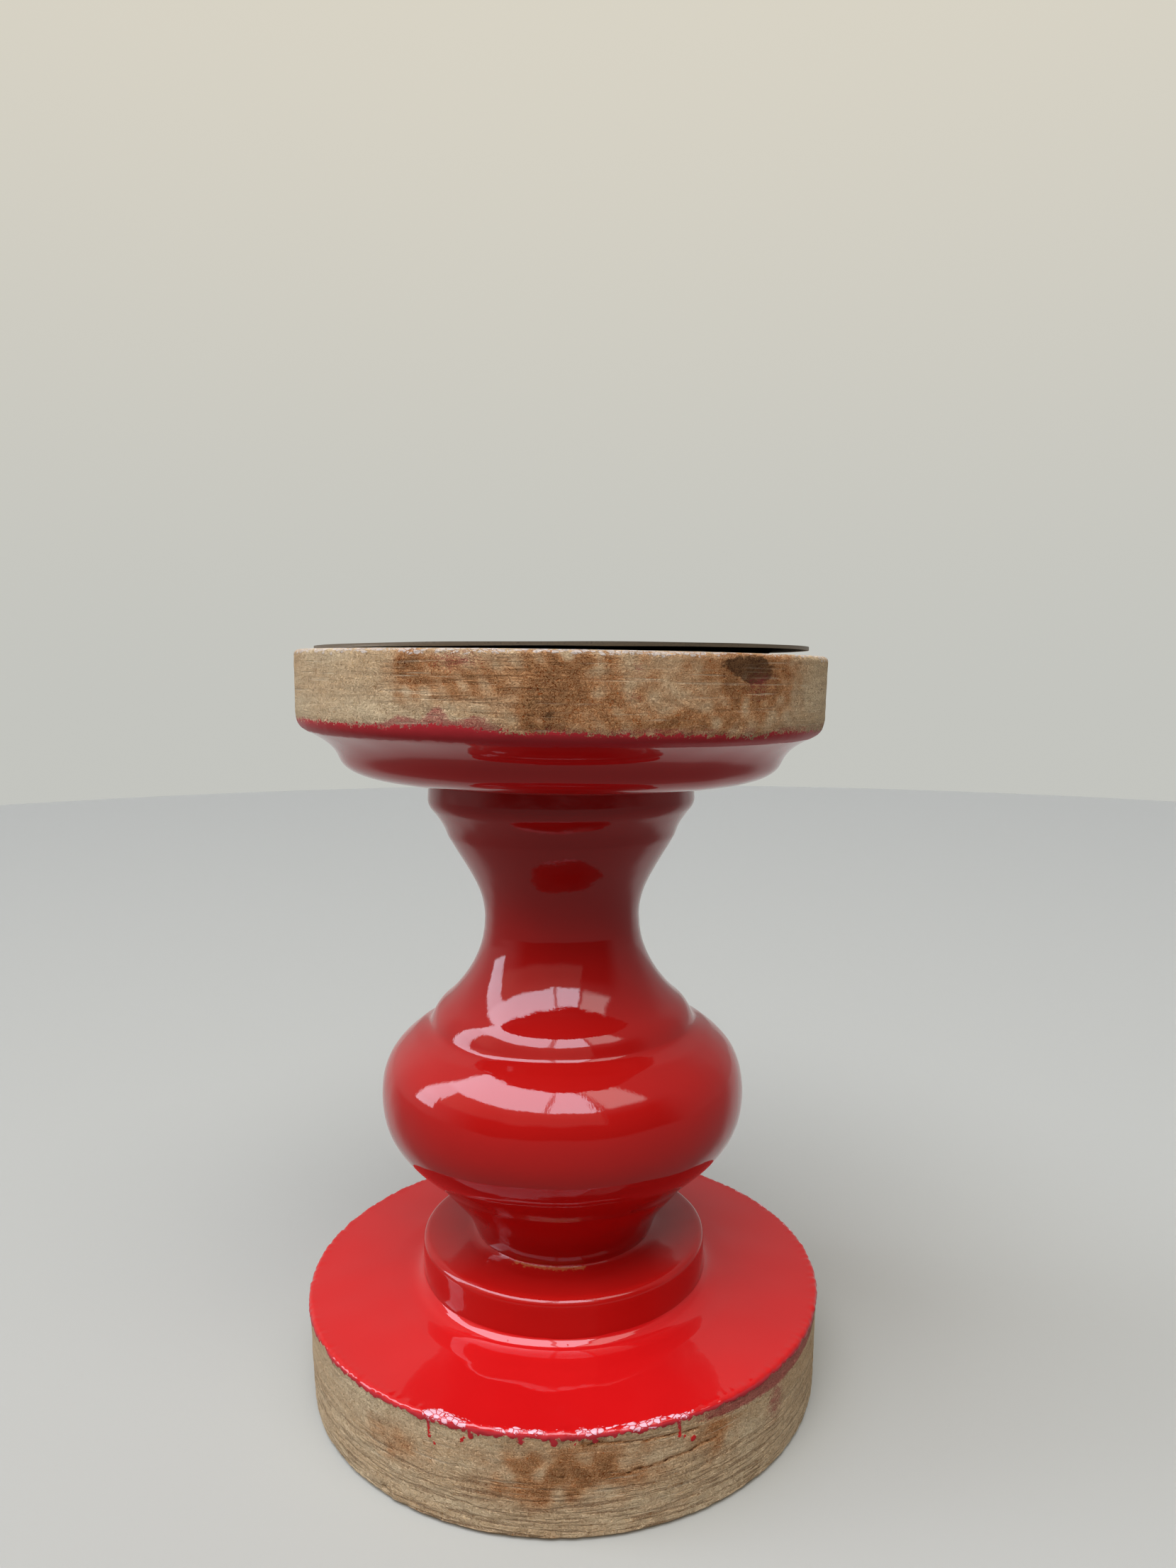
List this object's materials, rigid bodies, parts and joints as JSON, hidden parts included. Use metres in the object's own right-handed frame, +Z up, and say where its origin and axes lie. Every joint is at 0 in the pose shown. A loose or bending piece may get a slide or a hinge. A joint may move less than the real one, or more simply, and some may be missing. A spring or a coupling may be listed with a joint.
{
  "type": "pillar candle stand",
  "caption": "Turned wooden candlestick with a wide base, bulbous red enamelled stem, raw wood rims and a loose black metal dish for a pillar candle.",
  "frame": {"origin": "centre of the felt's resting face, on the stem's axis, at the lowest point", "axes": "+Z up along the stem's axis, +X towards the side that the top disc leans to"},
  "size_m": [0.1164, 0.1164, 0.1663],
  "materials": {
    "part_painted_wood": "raw sanded rim, gloss red enamel on the turned faces",
    "enamelled_wood": "high-gloss red enamel",
    "black_metal": "semi-matt black lacquer",
    "screw_steel": "zinc plated",
    "felt": "dark green wool felt"
  },
  "bodies": {
    "stand": {"base_disc": "part_painted_wood", "stem": "enamelled_wood", "top_disc": "part_painted_wood", "base_screw": "screw_steel", "top_screw": "screw_steel", "base_felt": "felt"},
    "dish": {"candle_dish": "black_metal"}
  },
  "joints": [
    {"name": "dish_lift", "type": "slide", "parent": "stand", "child": "dish", "axis": [0, 0, 1], "range_m": [0, 0.03]}
  ]
}
